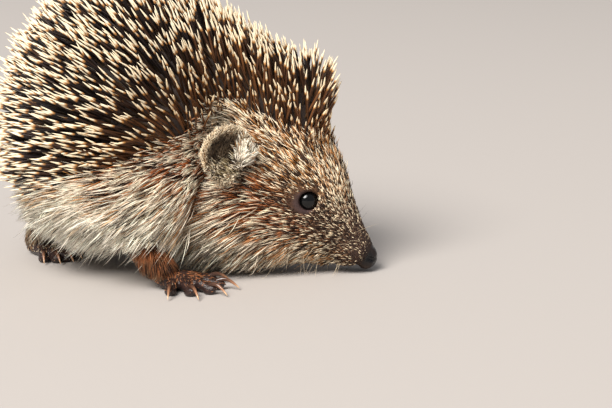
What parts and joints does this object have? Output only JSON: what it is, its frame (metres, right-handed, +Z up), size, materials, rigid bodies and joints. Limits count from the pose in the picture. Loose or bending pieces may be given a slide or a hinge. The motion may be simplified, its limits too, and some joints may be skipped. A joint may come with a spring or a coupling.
{
  "type": "hedgehog",
  "caption": "Young European hedgehog standing hunched with its nose low, a still life-size model.",
  "frame": {"origin": "on the floor, under the middle of the bounding box", "axes": "+X along the animal from rump to nose, +Y to its left, +Z up"},
  "size_m": [0.138, 0.0874, 0.1092],
  "materials": {
    "spines": "hard dull spines, dark with cream tips",
    "fur": "coarse brown fur with cream tips",
    "skin": "bare dull skin with short fur",
    "nose": "wet black skin",
    "eye": "glossy black",
    "claw": "horn, dark at the base and pale at the tip"
  },
  "bodies": {
    "root": {"trunk": "spines", "neck": "spines", "crown": "spines", "head": "fur", "nose": "nose", "tail": "skin", "eye_left": "eye", "ear_left": "skin", "leg_front_left": "fur", "paw_front_left": "skin", "leg_hind_left": "fur", "paw_hind_left": "skin", "eye_right": "eye", "ear_right": "skin", "leg_front_right": "fur", "paw_front_right": "skin", "leg_hind_right": "fur", "paw_hind_right": "skin", "claw_front_left_1": "claw", "claw_front_left_2": "claw", "claw_front_left_3": "claw", "claw_front_left_4": "claw", "claw_front_left_5": "claw", "claw_front_right_1": "claw", "claw_front_right_2": "claw", "claw_front_right_3": "claw", "claw_front_right_4": "claw", "claw_front_right_5": "claw", "claw_hind_left_1": "claw", "claw_hind_left_2": "claw", "claw_hind_left_3": "claw", "claw_hind_left_4": "claw", "claw_hind_left_5": "claw", "claw_hind_right_1": "claw", "claw_hind_right_2": "claw", "claw_hind_right_3": "claw", "claw_hind_right_4": "claw", "claw_hind_right_5": "claw"}
  },
  "joints": []
}
